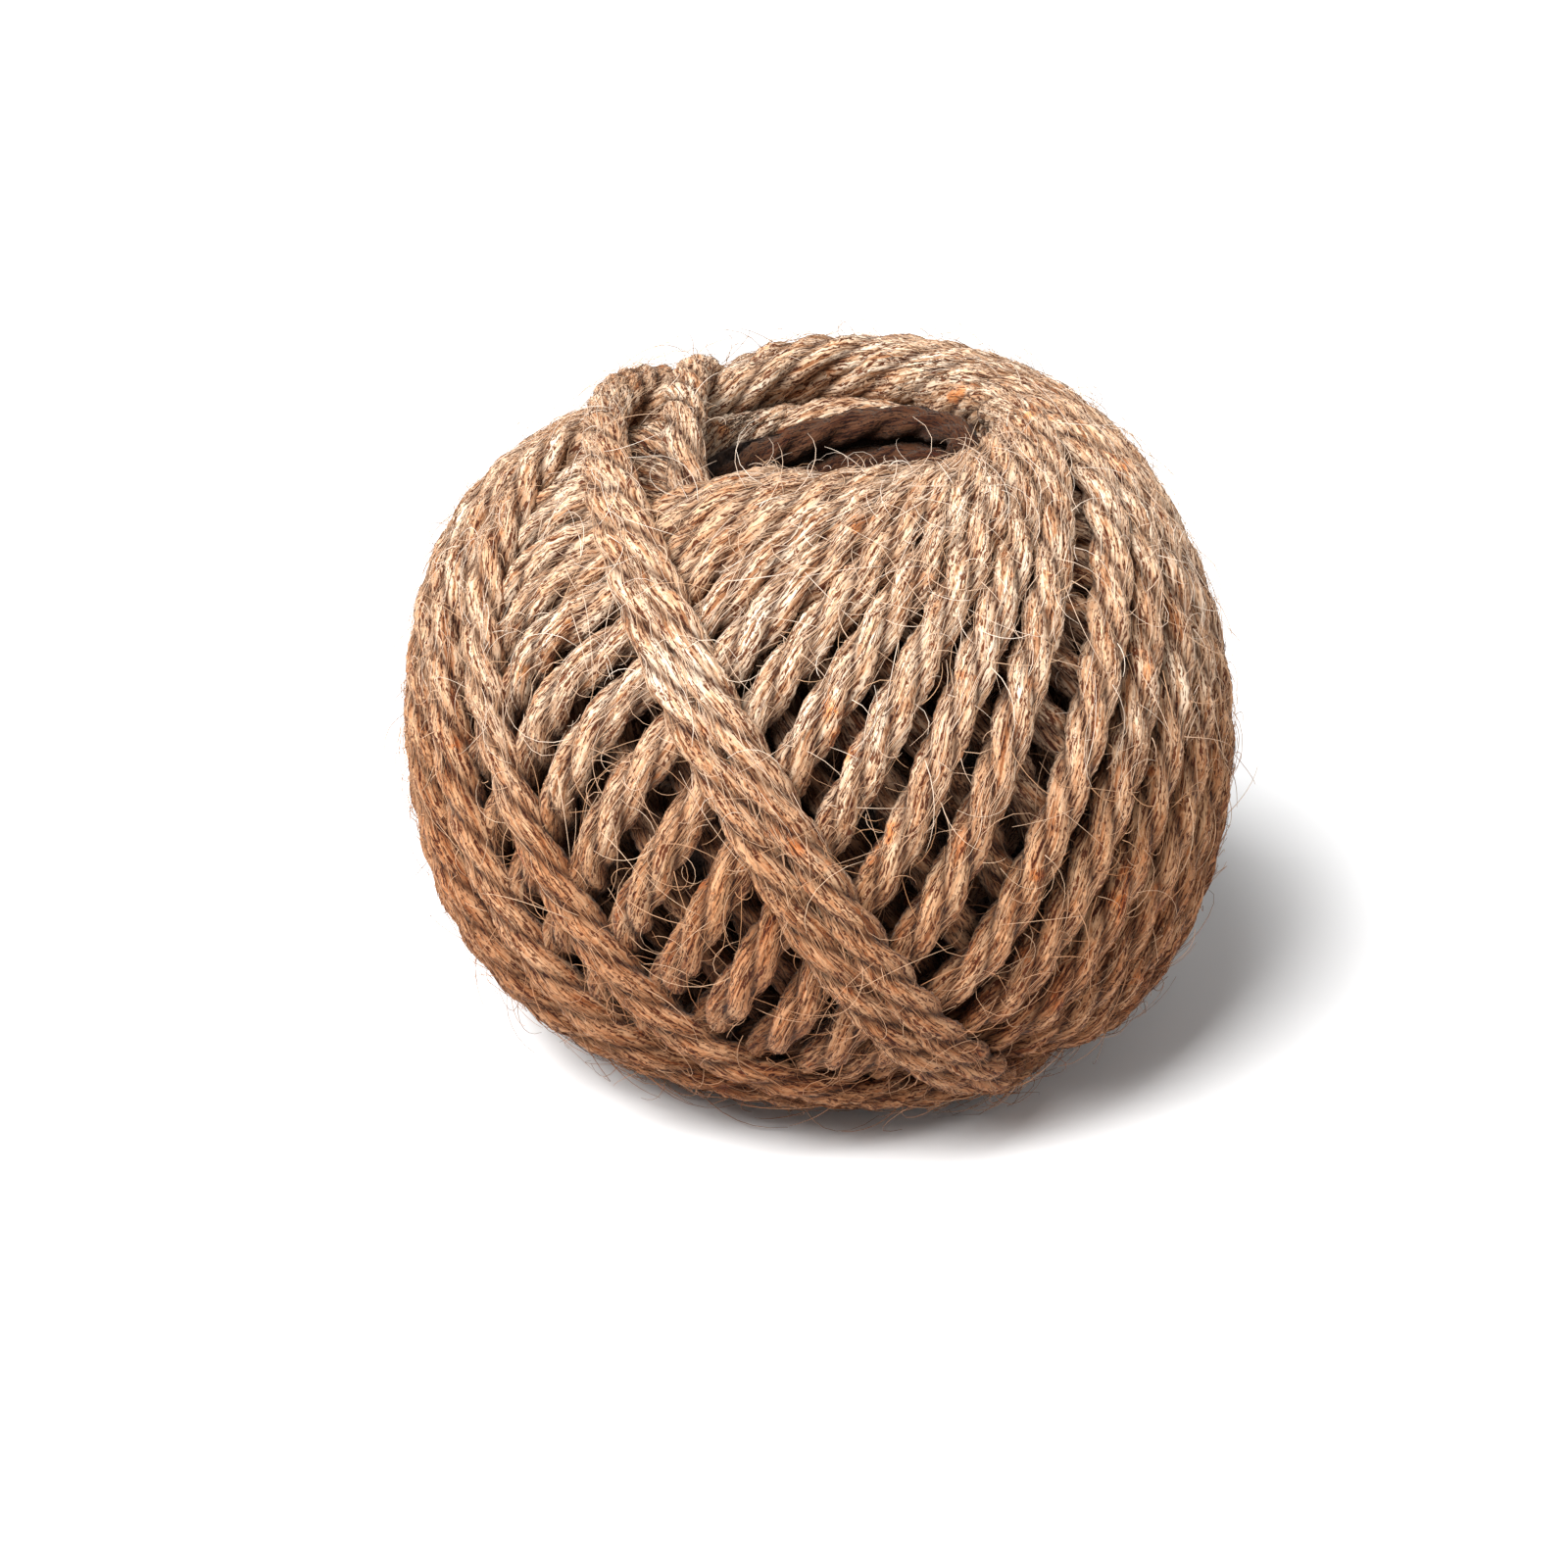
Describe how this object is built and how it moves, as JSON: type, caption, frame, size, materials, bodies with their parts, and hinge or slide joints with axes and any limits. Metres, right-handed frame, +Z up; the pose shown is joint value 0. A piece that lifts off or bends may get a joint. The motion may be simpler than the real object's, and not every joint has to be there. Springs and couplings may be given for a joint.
{
  "type": "roll of macrame cord",
  "caption": "Wound ball of jute macrame cord with a hole down its middle, standing on a small flat spot.",
  "frame": {"origin": "centre of the ball's box on the surface that it stands on", "axes": "+Z up along the winding's hole, -Y the pictured front, +X the front's right"},
  "size_m": [0.0923, 0.0943, 0.0762],
  "materials": {
    "jute_cord": "matte"
  },
  "bodies": {
    "root": {"wound_ball": "jute_cord"}
  },
  "joints": []
}
